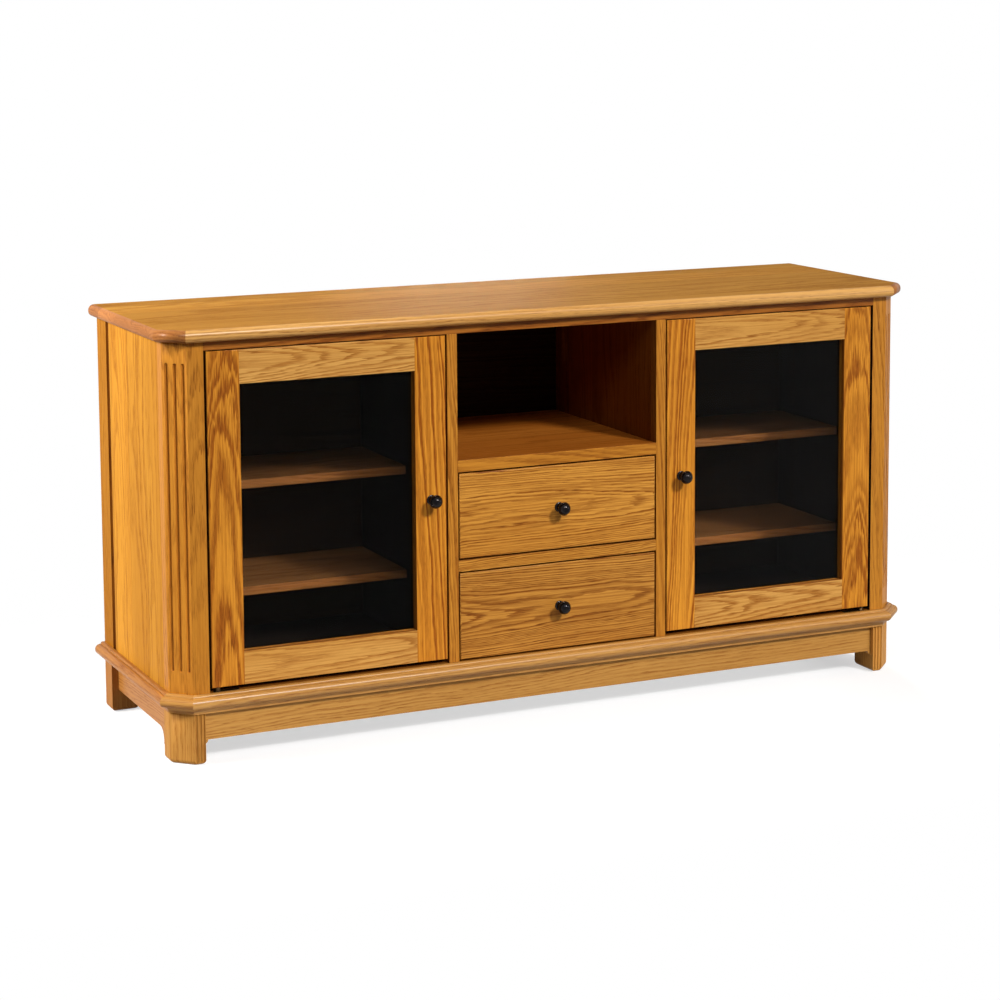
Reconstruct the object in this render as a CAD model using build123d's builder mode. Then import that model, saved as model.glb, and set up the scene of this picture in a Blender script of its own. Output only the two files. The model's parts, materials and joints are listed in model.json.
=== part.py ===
# Media cabinet: two glazed doors beside an open compartment with two drawers under it.
# Millimetres, +Z up, front towards -Y. The origin is the middle of the box's underside.
import os
from math import radians, sqrt, tan

from build123d import *

os.makedirs("parts", exist_ok=True)

# Main sizes
top_width = 1524
overall_height = 770
body_depth = 433

# Top board
top_thickness = 22
top_overhang = 17
top_back_overhang = 6
top_back_corner_round = 12
top_upper_round = 11
top_lower_round = 9

# Base: feet, aprons and the moulding that runs round above them
foot_height = 92
moulding_height = 35
moulding_ledge = 4.5
moulding_bead_radius = 4
moulding_nose = 19.3
moulding_nose_drop = 14
moulding_throat = 8
moulding_throat_drop = 23.5
moulding_foot_step = 2
front_foot_depth = 66
front_foot_step = 9
rear_foot_width = 51
rear_foot_depth = 42
foot_bottom_round = 9
foot_corner_round = 12
reed_count = 3
reed_radius = 2.4
apron_height = 50
apron_thickness = 19
front_apron_recess = 8.5
side_apron_recess = 12.5
front_bracket_radius = 7
side_bracket_radius = 22
side_bracket_length = 43
side_bracket_drop = 28

# Carcass boards
panel_thickness = 19
frame_thickness = 22
back_thickness = 6
corner_cut = 34.5
post_flat = 29.5
post_depth = 60
post_wall = 20
post_side_round = 9
post_front_round = 3
flute_count = 3
flute_pitch = 16
flute_width = 6.5
flute_top_margin = 37
flute_bottom_margin = 39
back_stile_width = 66
groove_width = 18
groove_depth = 7
top_rail_height = 16
mullion_width = 20
centre_opening = 407
drawer_rail_height = 21
compartment_shelf_thickness = 22
cable_hole_diameter = 50
cable_hole_drop = 47

# Bay shelves on peg supports
shelf_thickness = 16
shelf_end_gap = 0.8
shelf_setback = 197
shelf_back_gap = 4
lower_shelf_top = 261
upper_shelf_top = 460
peg_diameter = 5
peg_depth = 9
peg_fit = 0.05
peg_tab_length = 7
peg_tab_width = 12
peg_tab_thickness = 3
peg_front_inset = 45
peg_groove_margin = 25

# Doors
door_thickness = 20
door_hinge_gap = 4.5
door_knob_gap = 3
door_top_gap = 2
door_bottom_gap = 8
door_frame_width = 60
door_edge_round = 2
glass_thickness = 4
glass_edge_gap = 1
rabbet_width = 8
rabbet_depth = 9
stop_end_gap = 0.2

# Pivot hinges in the ends of the hinge stiles
pivot_inset = 12
pivot_setback = 8
pivot_diameter = 5
pivot_fit = 0.05
pivot_boss_diameter = 11
pivot_boss_gap = 0.1
leaf_length = 48
leaf_overhang = 8
leaf_width = 12
leaf_thickness = 2.5
pivot_end_gap = 0.2

# Magnetic catches and their strike plates
strike_width = 12
strike_height = 26
strike_thickness = 1.5
strike_drop = 16
strike_edge_inset = 2
catch_gap = 0.5
catch_width = 15
catch_height = 34
catch_depth = 24

# Drawers
lower_drawer_height = 161
upper_drawer_height = 157
drawer_gap = 3
drawer_side_gap = 2.5
drawer_edge_round = 2.5
box_thickness = 12
box_bottom_thickness = 6
box_bottom_lift = 8
box_foot_gap = 18
box_head_gap = 16
box_back_gap = 26

# Drawer slides, three members nested in each other
slide_thickness = 12.7
slide_height = 45
slide_wall = 1.4
slide_clearance = 0.4
slide_front_margin = 6
slide_back_margin = 24
cabinet_member_lip = 9
middle_member_lip = 8.2

# Knobs
knob_projection = 33
knob_diameter = 25
knob_base_diameter = 18
knob_base_thickness = 2
knob_neck_diameter = 10
knob_neck_length = 13
knob_flare_swell = 1
knob_rim_height = 22
door_knob_height = 298

# Back panel screws
screw_diameter = 3.5
screw_length = 20
screw_head_diameter = 7
screw_head_height = 2
screw_fit = 0.05
screw_end_margin = 80
bottom_screw_count = 5
partition_screw_count = 4

# Levels, worked out from the floor up
base_top = foot_height + moulding_height
body_top = overall_height - top_thickness
opening_top = body_top - top_rail_height
door_bottom = base_top + door_bottom_gap
door_top = opening_top - door_top_gap
lower_drawer_bottom = base_top + drawer_gap
lower_drawer_top = lower_drawer_bottom + lower_drawer_height
drawer_rail_bottom = lower_drawer_top + drawer_gap
drawer_rail_top = drawer_rail_bottom + drawer_rail_height
upper_drawer_bottom = drawer_rail_top + drawer_gap
upper_drawer_top = upper_drawer_bottom + upper_drawer_height
compartment_shelf_bottom = upper_drawer_top + drawer_gap
compartment_shelf_top = compartment_shelf_bottom + compartment_shelf_thickness
bottom_panel_bottom = base_top - panel_thickness

# Places across the width, measured from the middle
body_half = top_width / 2 - top_overhang
cant_start = body_half - corner_cut
post_inner = cant_start - post_flat
side_inner = body_half - panel_thickness
mullion_inner = centre_opening / 2
mullion_outer = mullion_inner + mullion_width
door_outer = post_inner - door_hinge_gap
door_inner = mullion_outer + door_knob_gap
glass_outer = door_outer - door_frame_width
glass_inner = door_inner + door_frame_width
pivot_x = door_outer - pivot_inset
foot_inner = post_inner + front_foot_step

# Places from front to back; the front of the posts, doors and drawers is one plane
front = knob_projection - (knob_projection + body_depth + top_back_overhang) / 2
back = front + body_depth
frame_back = front + frame_thickness
back_inside = back - back_thickness
groove_y = back - back_stile_width
post_back = front + post_depth
door_back = front + door_thickness
pivot_y = front + pivot_setback

sides = (("left", -1), ("right", 1))
turn = tan(radians(22.5))


def save(piece, name):
    piece.part.label = name
    export_step(piece.part, f"parts/{name}.step")


def board(x_span, y_span, z_span, mode=Mode.ADD):
    spans = (x_span, y_span, z_span)
    with Locations(tuple((low + high) / 2 for low, high in spans)):
        Box(*[abs(high - low) for low, high in spans], mode=mode)


def span(sign, near, far):
    return (sign * near, sign * far)


# Top board: clipped front corners, round back corners and a rounded edge all the way round
top_half = top_width / 2
top_front = front - top_overhang
top_back = back + top_back_overhang
top_clip = corner_cut + top_overhang * (2 - sqrt(2))
with BuildPart() as top_panel:
    with BuildSketch(Plane.XY.offset(body_top)):
        with BuildLine():
            Polyline(
                (-top_half, top_back),
                (-top_half, top_front + top_clip),
                (-top_half + top_clip, top_front),
                (top_half - top_clip, top_front),
                (top_half, top_front + top_clip),
                (top_half, top_back),
                close=True,
            )
        make_face()
    extrude(amount=top_thickness)
    fillet(top_panel.edges().filter_by(Axis.Z).group_by(Axis.Y)[-1], radius=top_back_corner_round)
    fillet(top_panel.faces().sort_by(Axis.Z)[-1].edges(), radius=top_upper_round)
    fillet(top_panel.faces().sort_by(Axis.Z)[0].edges(), radius=top_lower_round)
save(top_panel, "top_panel")

# Fluted corner posts with a 45 degree front corner
cant_inner = cant_start - post_wall * sqrt(2)
post_outline = (
    (post_inner, 0),
    (cant_start, 0),
    (body_half, corner_cut),
    (body_half, post_depth),
    (side_inner, post_depth),
    (side_inner, side_inner - cant_inner),
    (cant_inner + frame_thickness, frame_thickness),
    (post_inner, frame_thickness),
)
flute_bottom = base_top + flute_bottom_margin + flute_width / 2
flute_top = body_top - flute_top_margin - flute_width / 2
flute_offsets = [(number - (flute_count - 1) / 2) * flute_pitch / sqrt(2) for number in range(flute_count)]
cant_middle = (cant_start + body_half) / 2
for side, sign in sides:
    flute_places = [
        (sign * (cant_middle + shift), front + corner_cut / 2 + shift) for shift in flute_offsets
    ]
    with BuildPart() as corner_post:
        with BuildSketch(Plane.XY.offset(foot_height)):
            with BuildLine():
                Polyline(*[(sign * x, front + y) for x, y in post_outline], close=True)
            make_face()
        extrude(amount=body_top - foot_height)
        for x, y, radius in ((body_half, corner_cut, post_side_round), (cant_start, 0, post_front_round)):
            uprights = corner_post.edges().filter_by(Axis.Z)
            fillet(uprights.sort_by_distance((sign * x, front + y, body_top / 2))[0], radius)
        with Locations([(x, y, (flute_bottom + flute_top) / 2) for x, y in flute_places]):
            Cylinder(flute_width / 2, flute_top - flute_bottom, mode=Mode.SUBTRACT)
        with Locations([(x, y, z) for x, y in flute_places for z in (flute_bottom, flute_top)]):
            Sphere(flute_width / 2, mode=Mode.SUBTRACT)
    save(corner_post, f"{side}_corner_post")

# Side panels and back stiles, with a round groove where the two meet
groove_radius = (groove_width ** 2 / 4 + groove_depth ** 2) / (2 * groove_depth)
groove_x = body_half + groove_radius - groove_depth
body_middle = (foot_height + body_top) / 2
peg_rows = (front + shelf_setback + peg_front_inset, groove_y - peg_groove_margin)
peg_levels = [top - shelf_thickness - peg_tab_thickness / 2 for top in (lower_shelf_top, upper_shelf_top)]
peg_points = [(y, z) for y in peg_rows for z in peg_levels]
peg_hole = peg_diameter / 2 + peg_fit
for side, sign in sides:
    with BuildPart() as side_panel:
        board(span(sign, side_inner, body_half), (post_back, groove_y), (foot_height, body_top))
        with Locations((sign * groove_x, groove_y, body_middle)):
            Cylinder(groove_radius, body_top - foot_height, mode=Mode.SUBTRACT)
        with Locations([(sign * (side_inner + peg_depth / 2), y, z) for y, z in peg_points]):
            Cylinder(peg_hole, peg_depth, rotation=(0, 90, 0), mode=Mode.SUBTRACT)
    save(side_panel, f"{side}_side_panel")

with BuildPart() as back_stiles:
    for side, sign in sides:
        board(span(sign, side_inner, body_half), (groove_y, back), (foot_height, body_top))
        with Locations((sign * groove_x, groove_y, body_middle)):
            Cylinder(groove_radius, body_top - foot_height, mode=Mode.SUBTRACT)
save(back_stiles, "back_stiles")

# Front rails, each with two mortises for the hinge leaves
leaf_outer = pivot_x + leaf_overhang
leaf_inner = leaf_outer - leaf_length
leaf_y = (pivot_y - leaf_width / 2, pivot_y + leaf_width / 2)
with BuildPart() as top_rail:
    board((-post_inner, post_inner), (front, frame_back), (opening_top, body_top))
    for side, sign in sides:
        mortise_z = (opening_top, opening_top + leaf_thickness)
        board(span(sign, leaf_inner, leaf_outer), leaf_y, mortise_z, Mode.SUBTRACT)
save(top_rail, "top_rail")

with BuildPart() as bottom_rail:
    board((-post_inner, post_inner), (front, frame_back), (foot_height, base_top))
    for side, sign in sides:
        mortise_z = (base_top - leaf_thickness, base_top)
        board(span(sign, leaf_inner, leaf_outer), leaf_y, mortise_z, Mode.SUBTRACT)
save(bottom_rail, "bottom_rail")

# Uprights beside the centre opening, and the rail between the drawers
with BuildPart() as mullions:
    for side, sign in sides:
        board(span(sign, mullion_inner, mullion_outer), (front, frame_back), (base_top, opening_top))
save(mullions, "mullions")

with BuildPart() as drawer_rail:
    board((-mullion_inner, mullion_inner), (front, frame_back), (drawer_rail_bottom, drawer_rail_top))
save(drawer_rail, "drawer_rail")

# Screw places on the back
screw_reach = screw_length - back_thickness
screw_hole = screw_diameter / 2 + screw_fit
partition_middle = (mullion_inner + mullion_outer) / 2
bottom_screw_z = base_top - panel_thickness / 2
bottom_screw_run = 2 * (side_inner - screw_end_margin)
bottom_screw_step = bottom_screw_run / (bottom_screw_count - 1)
bottom_screws = [
    (number * bottom_screw_step - bottom_screw_run / 2, bottom_screw_z)
    for number in range(bottom_screw_count)
]
partition_screw_run = body_top - base_top - 2 * screw_end_margin
partition_screw_step = partition_screw_run / (partition_screw_count - 1)
partition_screw_heights = [
    base_top + screw_end_margin + number * partition_screw_step for number in range(partition_screw_count)
]
partition_screws = [(sign * partition_middle, z) for side, sign in sides for z in partition_screw_heights]

# Partitions behind the mullions
with BuildPart() as partitions:
    for side, sign in sides:
        board(span(sign, mullion_inner, mullion_outer), (frame_back, back_inside), (base_top, body_top))
        with Locations([(sign * (mullion_outer - peg_depth / 2), y, z) for y, z in peg_points]):
            Cylinder(peg_hole, peg_depth, rotation=(0, 90, 0), mode=Mode.SUBTRACT)
        screw_hole_y = back_inside - screw_reach / 2
        with Locations([(sign * partition_middle, screw_hole_y, z) for z in partition_screw_heights]):
            Cylinder(screw_hole, screw_reach, rotation=(90, 0, 0), mode=Mode.SUBTRACT)
save(partitions, "partitions")

# Bottom board, its front corners cut to clear the posts
with BuildPart() as bottom_panel:
    with BuildSketch(Plane.XY.offset(bottom_panel_bottom)):
        with BuildLine():
            Polyline(
                (-cant_inner - frame_thickness, frame_back),
                (cant_inner + frame_thickness, frame_back),
                (side_inner, front + side_inner - cant_inner),
                (side_inner, back_inside),
                (-side_inner, back_inside),
                (-side_inner, front + side_inner - cant_inner),
                close=True,
            )
        make_face()
    extrude(amount=panel_thickness)
    with Locations([(x, back_inside - screw_reach / 2, z) for x, z in bottom_screws]):
        Cylinder(screw_hole, screw_reach, rotation=(90, 0, 0), mode=Mode.SUBTRACT)
save(bottom_panel, "bottom_panel")

# Thin back with a cable hole for each bay
bay_middle = (mullion_outer + side_inner) / 2
cable_hole_z = body_top - cable_hole_drop
with BuildPart() as back_panel:
    board((-side_inner, side_inner), (back_inside, back), (bottom_panel_bottom, body_top))
    with Locations([(x, back - back_thickness / 2, cable_hole_z) for x in (-bay_middle, 0, bay_middle)]):
        Cylinder(cable_hole_diameter / 2, back_thickness, rotation=(90, 0, 0), mode=Mode.SUBTRACT)
    with Locations([(x, back - back_thickness / 2, z) for x, z in bottom_screws + partition_screws]):
        Cylinder(screw_hole, back_thickness, rotation=(90, 0, 0), mode=Mode.SUBTRACT)
save(back_panel, "back_panel")

with BuildPart() as back_panel_screws:
    for x, z in bottom_screws + partition_screws:
        with Locations((x, back - screw_length / 2, z)):
            Cylinder(screw_diameter / 2, screw_length, rotation=(90, 0, 0))
        with Locations((x, back + screw_head_height / 2, z)):
            Cylinder(screw_head_diameter / 2, screw_head_height, rotation=(90, 0, 0))
save(back_panel_screws, "back_panel_screws")

# Floor of the open compartment
with BuildPart() as compartment_shelf:
    shelf_levels = (compartment_shelf_bottom, compartment_shelf_top)
    board((-mullion_inner, mullion_inner), (front, back_inside), shelf_levels)
save(compartment_shelf, "compartment_shelf")

# Two loose shelves in each bay, on peg supports
for side, sign in sides:
    with BuildPart() as bay_shelves:
        for shelf_top in (lower_shelf_top, upper_shelf_top):
            board(
                span(sign, mullion_outer + shelf_end_gap, side_inner - shelf_end_gap),
                (front + shelf_setback, back_inside - shelf_back_gap),
                (shelf_top - shelf_thickness, shelf_top),
            )
    save(bay_shelves, f"{side}_bay_shelves")

with BuildPart() as shelf_pegs:
    for side, sign in sides:
        for wall, into in ((side_inner, 1), (mullion_outer, -1)):
            for y, z in peg_points:
                with Locations((sign * (wall + into * peg_depth / 2), y, z)):
                    Cylinder(peg_diameter / 2, peg_depth, rotation=(0, 90, 0))
                board(
                    span(sign, wall, wall - into * peg_tab_length),
                    (y - peg_tab_width / 2, y + peg_tab_width / 2),
                    (z - peg_tab_thickness / 2, z + peg_tab_thickness / 2),
                )
save(shelf_pegs, "shelf_pegs")

# Front feet: the corner's outline carried down, reeded on the front flat
foot_outline = (
    (foot_inner, 0),
    (cant_start, 0),
    (body_half, corner_cut),
    (body_half, front_foot_depth),
    (foot_inner, front_foot_depth),
)
reed_step = (cant_start - foot_inner) / reed_count
reed_places = [foot_inner + reed_step / 2 + number * reed_step for number in range(reed_count)]
for side, sign in sides:
    with BuildPart() as front_foot:
        with BuildSketch():
            with BuildLine():
                Polyline(*[(sign * x, front + y) for x, y in foot_outline], close=True)
            make_face()
        extrude(amount=foot_height)
        uprights = front_foot.edges().filter_by(Axis.Z)
        outer_corner = (sign * body_half, front + corner_cut, foot_height / 2)
        fillet(uprights.sort_by_distance(outer_corner)[0], foot_corner_round)
        fillet(front_foot.edges().group_by(Axis.Z)[0], radius=foot_bottom_round)
        with Locations([(sign * x, front, foot_height / 2) for x in reed_places]):
            Cylinder(reed_radius, foot_height, mode=Mode.SUBTRACT)
    save(front_foot, f"front_{side}_foot")

with BuildPart() as rear_feet:
    for side, sign in sides:
        foot_x = span(sign, body_half - rear_foot_width, body_half)
        board(foot_x, (back - rear_foot_depth, back), (0, foot_height))
    fillet(rear_feet.edges().group_by(Axis.Z)[0], radius=foot_bottom_round)
save(rear_feet, "rear_feet")

# Aprons between the feet, each curving down where it meets a front foot
apron_bottom = foot_height - apron_height
front_arch = foot_inner - front_bracket_radius
with BuildPart() as front_apron:
    with BuildSketch(Plane.XZ.offset(-front - front_apron_recess)):
        with BuildLine():
            Polyline((front_arch, apron_bottom), (-front_arch, apron_bottom))
            RadiusArc((-front_arch, apron_bottom), (-foot_inner, apron_bottom - front_bracket_radius),
                      front_bracket_radius)
            Polyline(
                (-foot_inner, apron_bottom - front_bracket_radius),
                (-foot_inner, foot_height),
                (foot_inner, foot_height),
                (foot_inner, apron_bottom - front_bracket_radius),
            )
            RadiusArc((foot_inner, apron_bottom - front_bracket_radius), (front_arch, apron_bottom),
                      front_bracket_radius)
        make_face()
    extrude(amount=-apron_thickness)
save(front_apron, "front_apron")

side_apron_front = front + front_foot_depth
side_apron_back = back - rear_foot_depth
bracket_back = side_apron_front + side_bracket_length
bracket_top = apron_bottom - side_bracket_radius
bracket_bottom = apron_bottom - side_bracket_drop
with BuildPart() as side_aprons:
    for side, sign in sides:
        apron_outer = body_half - side_apron_recess
        apron_face = sign * (apron_outer - apron_thickness if sign > 0 else apron_outer)
        with BuildSketch(Plane.YZ.offset(apron_face)):
            with BuildLine():
                Polyline(
                    (bracket_back, bracket_top),
                    (bracket_back, bracket_bottom),
                    (side_apron_front, bracket_bottom),
                    (side_apron_front, foot_height),
                    (side_apron_back, foot_height),
                    (side_apron_back, apron_bottom),
                    (bracket_back + side_bracket_radius, apron_bottom),
                )
                RadiusArc((bracket_back + side_bracket_radius, apron_bottom), (bracket_back, bracket_top),
                          -side_bracket_radius)
            make_face()
        extrude(amount=apron_thickness)
save(side_aprons, "side_aprons")


# Base moulding: a ledge and quarter-round bead, a round nose and a short cove under it
eighth = sqrt(1 / 2)
bead_foot = (moulding_ledge + moulding_bead_radius, base_top - moulding_bead_radius)
nose_z = base_top - moulding_nose_drop
throat_z = base_top - moulding_throat_drop
bead_middle = (
    moulding_ledge + moulding_bead_radius * eighth,
    base_top - moulding_bead_radius * (1 - eighth),
)
cove_middle = (
    moulding_throat - (moulding_throat - moulding_foot_step) * eighth,
    foot_height + (throat_z - foot_height) * eighth,
)


def moulding_run(corners, outward):
    start, end = (Vector(*corner) for corner in corners[:2])
    along = Vector(*outward).cross(Vector(0, 0, 1))
    with BuildPart() as run:
        with BuildSketch(Plane(origin=(start + end) / 2, x_dir=outward, z_dir=along)):
            with BuildLine():
                Polyline(
                    (moulding_foot_step, foot_height),
                    (0, foot_height),
                    (0, base_top),
                    (moulding_ledge, base_top),
                )
                ThreePointArc((moulding_ledge, base_top), bead_middle, bead_foot)
                ThreePointArc(bead_foot, (moulding_nose, nose_z), (moulding_throat, throat_z))
                ThreePointArc((moulding_throat, throat_z), cove_middle, (moulding_foot_step, foot_height))
            make_face()
        extrude(amount=(end - start).length / 2 + moulding_nose, both=True)
        with BuildSketch():
            with BuildLine():
                Polyline(*corners, close=True)
            make_face()
        extrude(amount=overall_height, mode=Mode.INTERSECT)
    return run


reach = moulding_nose + 1
mitre_front = (cant_start + reach * turn, front - reach)
mitre_side = (body_half + reach, front + corner_cut - reach * turn)
front_base_moulding = moulding_run(
    [(-cant_start, front), (cant_start, front), mitre_front, (-mitre_front[0], mitre_front[1])],
    (0, -1, 0),
)
save(front_base_moulding, "front_base_moulding")

right_corner_moulding = moulding_run(
    [(cant_start, front), (body_half, front + corner_cut), mitre_side, mitre_front],
    (1 / sqrt(2), -1 / sqrt(2), 0),
)
with BuildPart() as corner_base_mouldings:
    add(right_corner_moulding.part)
    mirror(about=Plane.YZ)
save(corner_base_mouldings, "corner_base_mouldings")

right_side_moulding = moulding_run(
    [(body_half, front + corner_cut), (body_half, back), (body_half + reach, back), mitre_side],
    (1, 0, 0),
)
with BuildPart() as side_base_mouldings:
    add(right_side_moulding.part)
    mirror(about=Plane.YZ)
save(side_base_mouldings, "side_base_mouldings")


# Knob: a flared base, a slim neck and a domed head, turned about a line along Y
def turned_knob(x, z):
    base_radius = knob_base_diameter / 2
    neck_radius = knob_neck_diameter / 2
    head_radius = knob_diameter / 2
    base_edge = (base_radius, knob_base_thickness)
    neck_end = (neck_radius, knob_neck_length)
    rim = (head_radius, knob_rim_height)
    flare_middle = (neck_radius + knob_flare_swell, (knob_base_thickness + knob_neck_length) / 2)
    dome_height = knob_projection - knob_rim_height
    dome_radius = (head_radius ** 2 + dome_height ** 2) / (2 * dome_height)
    with BuildPart() as knob:
        with BuildSketch(Plane(origin=(x, front, z), x_dir=(1, 0, 0), z_dir=(0, 0, -1))):
            with BuildLine():
                Polyline((0, knob_projection), (0, 0), (base_radius, 0), base_edge)
                ThreePointArc(base_edge, flare_middle, neck_end)
                Line(neck_end, rim)
                RadiusArc(rim, (0, knob_projection), -dome_radius)
            make_face()
        revolve(axis=Axis((x, front, z), (0, 1, 0)))
    return knob


# Doors: two stiles, two rails, a glass pane held by four stops, hinge leaves, strike and knob
rail_low = door_bottom + door_frame_width
rail_high = door_top - door_frame_width
rabbet_y = (door_back - rabbet_depth, door_back)
glass_y = (rabbet_y[0], rabbet_y[0] + glass_thickness)
stop_y = (glass_y[1], door_back)
knob_z = door_bottom + door_knob_height
knob_stile_middle = (door_inner + glass_inner) / 2
for side, sign in sides:
    with BuildPart() as hinge_stile:
        board(span(sign, glass_outer, door_outer), (front, door_back), (door_bottom, door_top))
        face_edges = hinge_stile.faces().sort_by(Axis.Y)[0].edges()
        inner_edge = face_edges.sort_by_distance((sign * glass_outer, front, knob_z))[0]
        fillet([edge for edge in face_edges if edge != inner_edge], radius=door_edge_round)
        board(
            span(sign, glass_outer, glass_outer + rabbet_width),
            rabbet_y,
            (rail_low - rabbet_width, rail_high + rabbet_width),
            Mode.SUBTRACT,
        )
        for leaf_z in ((door_bottom, door_bottom + leaf_thickness), (door_top - leaf_thickness, door_top)):
            board(span(sign, leaf_inner, leaf_outer), leaf_y, leaf_z, Mode.SUBTRACT)
    save(hinge_stile, f"{side}_door_hinge_stile")

    with BuildPart() as knob_stile:
        board(span(sign, door_inner, glass_inner), (front, door_back), (door_bottom, door_top))
        face_edges = knob_stile.faces().sort_by(Axis.Y)[0].edges()
        inner_edge = face_edges.sort_by_distance((sign * glass_inner, front, knob_z))[0]
        fillet([edge for edge in face_edges if edge != inner_edge], radius=door_edge_round)
        board(
            span(sign, glass_inner - rabbet_width, glass_inner),
            rabbet_y,
            (rail_low - rabbet_width, rail_high + rabbet_width),
            Mode.SUBTRACT,
        )
    save(knob_stile, f"{side}_door_knob_stile")

    with BuildPart() as door_rails:
        board(span(sign, glass_inner, glass_outer), (front, door_back), (door_bottom, rail_low))
        board(span(sign, glass_inner, glass_outer), (front, door_back), (rail_high, door_top))
        front_edges = door_rails.edges().filter_by(Axis.X).group_by(Axis.Y)[0].sort_by(Axis.Z)
        fillet([front_edges[0], front_edges[-1]], radius=door_edge_round)
        for rabbet_z in ((rail_low - rabbet_width, rail_low), (rail_high, rail_high + rabbet_width)):
            board(span(sign, glass_inner, glass_outer), rabbet_y, rabbet_z, Mode.SUBTRACT)
    save(door_rails, f"{side}_door_rails")

    lap = rabbet_width - glass_edge_gap
    with BuildPart() as door_glass:
        board(span(sign, glass_inner - lap, glass_outer + lap), glass_y, (rail_low - lap, rail_high + lap))
    save(door_glass, f"{side}_door_glass")

    with BuildPart() as glass_stops:
        upright_z = (rail_low - rabbet_width, rail_high + rabbet_width)
        board(span(sign, glass_inner - rabbet_width, glass_inner), stop_y, upright_z)
        board(span(sign, glass_outer, glass_outer + rabbet_width), stop_y, upright_z)
        level_x = span(sign, glass_inner + stop_end_gap, glass_outer - stop_end_gap)
        board(level_x, stop_y, (rail_low - rabbet_width, rail_low))
        board(level_x, stop_y, (rail_high, rail_high + rabbet_width))
    save(glass_stops, f"{side}_door_glass_stops")

    with BuildPart() as door_hinge_leaves:
        for leaf_z in ((door_bottom, door_bottom + leaf_thickness), (door_top - leaf_thickness, door_top)):
            board(span(sign, leaf_inner, leaf_outer), leaf_y, leaf_z)
            with Locations((sign * pivot_x, pivot_y, sum(leaf_z) / 2)):
                Cylinder(pivot_diameter / 2 + pivot_fit, leaf_thickness, mode=Mode.SUBTRACT)
    save(door_hinge_leaves, f"{side}_door_hinge_leaves")

    strike_top = door_top - strike_drop
    strike_near = door_inner + strike_edge_inset
    with BuildPart() as door_strike:
        board(
            span(sign, strike_near, strike_near + strike_width),
            (door_back, door_back + strike_thickness),
            (strike_top - strike_height, strike_top),
        )
    save(door_strike, f"{side}_door_strike")

    save(turned_knob(sign * knob_stile_middle, knob_z), f"{side}_door_knob")

# Case leaves of the hinges, each with a boss that carries the door and a pin
with BuildPart() as hinge_case_leaves:
    for side, sign in sides:
        for face, into, gap in ((base_top, -1, door_bottom_gap), (opening_top, 1, door_top_gap)):
            board(span(sign, leaf_inner, leaf_outer), leaf_y, (face, face + into * leaf_thickness))
            boss_height = gap - pivot_boss_gap
            with Locations((sign * pivot_x, pivot_y, face - into * boss_height / 2)):
                Cylinder(pivot_boss_diameter / 2, boss_height)
            pin_length = gap + leaf_thickness - pivot_end_gap
            with Locations((sign * pivot_x, pivot_y, face - into * pin_length / 2)):
                Cylinder(pivot_diameter / 2, pin_length)
save(hinge_case_leaves, "hinge_case_leaves")

with BuildPart() as door_catches:
    catch_front = door_back + strike_thickness + catch_gap
    catch_middle = door_top - strike_drop - strike_height / 2
    for side, sign in sides:
        board(
            span(sign, mullion_outer, mullion_outer + catch_width),
            (catch_front, catch_front + catch_depth),
            (catch_middle - catch_height / 2, catch_middle + catch_height / 2),
        )
save(door_catches, "door_catches")

# Drawers: a slab front, an open box and three-part slides at both sides
drawer_half = mullion_inner - drawer_side_gap
box_half = mullion_inner - slide_thickness
box_inner = box_half - box_thickness
box_front = front + door_thickness
box_back = back_inside - box_back_gap
slide_y = (box_front + slide_front_margin, box_back - slide_back_margin)
drawers = (
    ("upper", upper_drawer_bottom, upper_drawer_top),
    ("lower", lower_drawer_bottom, lower_drawer_top),
)


def slide_channel(sign, web, lip, half_height, middle_z):
    web_side = 1 if lip < web else -1
    board(
        span(sign, web, web - web_side * slide_wall),
        slide_y,
        (middle_z - half_height, middle_z + half_height),
    )
    for edge in (middle_z - half_height, middle_z + half_height - slide_wall):
        board(span(sign, web, lip), slide_y, (edge, edge + slide_wall))


middle_web = mullion_inner - slide_wall - slide_clearance
middle_half_height = slide_height / 2 - slide_wall - slide_clearance
drawer_lip = middle_web - slide_wall - slide_clearance
drawer_half_height = middle_half_height - slide_wall - slide_clearance
for drawer, drawer_bottom, drawer_top in drawers:
    box_bottom = drawer_bottom + box_foot_gap
    box_top = drawer_top - box_head_gap
    slide_z = (box_bottom + box_top) / 2
    with BuildPart() as drawer_front:
        board((-drawer_half, drawer_half), (front, box_front), (drawer_bottom, drawer_top))
        fillet(drawer_front.faces().sort_by(Axis.Y)[0].edges(), radius=drawer_edge_round)
    save(drawer_front, f"{drawer}_drawer_front")

    with BuildPart() as drawer_sides:
        for side, sign in sides:
            board(span(sign, box_inner, box_half), (box_front, box_back), (box_bottom, box_top))
    save(drawer_sides, f"{drawer}_drawer_sides")

    with BuildPart() as drawer_ends:
        for end_y in ((box_front, box_front + box_thickness), (box_back - box_thickness, box_back)):
            board((-box_inner, box_inner), end_y, (box_bottom, box_top))
    save(drawer_ends, f"{drawer}_drawer_ends")

    with BuildPart() as drawer_floor:
        floor_z = (box_bottom + box_bottom_lift, box_bottom + box_bottom_lift + box_bottom_thickness)
        board((-box_inner, box_inner), (box_front + box_thickness, box_back - box_thickness), floor_z)
    save(drawer_floor, f"{drawer}_drawer_floor")

    save(turned_knob(0, (drawer_bottom + drawer_top) / 2), f"{drawer}_drawer_knob")

    with BuildPart() as drawer_members:
        for side, sign in sides:
            slide_channel(sign, box_half, drawer_lip, drawer_half_height, slide_z)
    save(drawer_members, f"{drawer}_drawer_slide_members")

    with BuildPart() as middle_members:
        for side, sign in sides:
            slide_channel(sign, middle_web, middle_web - middle_member_lip, middle_half_height, slide_z)
    save(middle_members, f"{drawer}_slide_middle_members")

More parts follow.
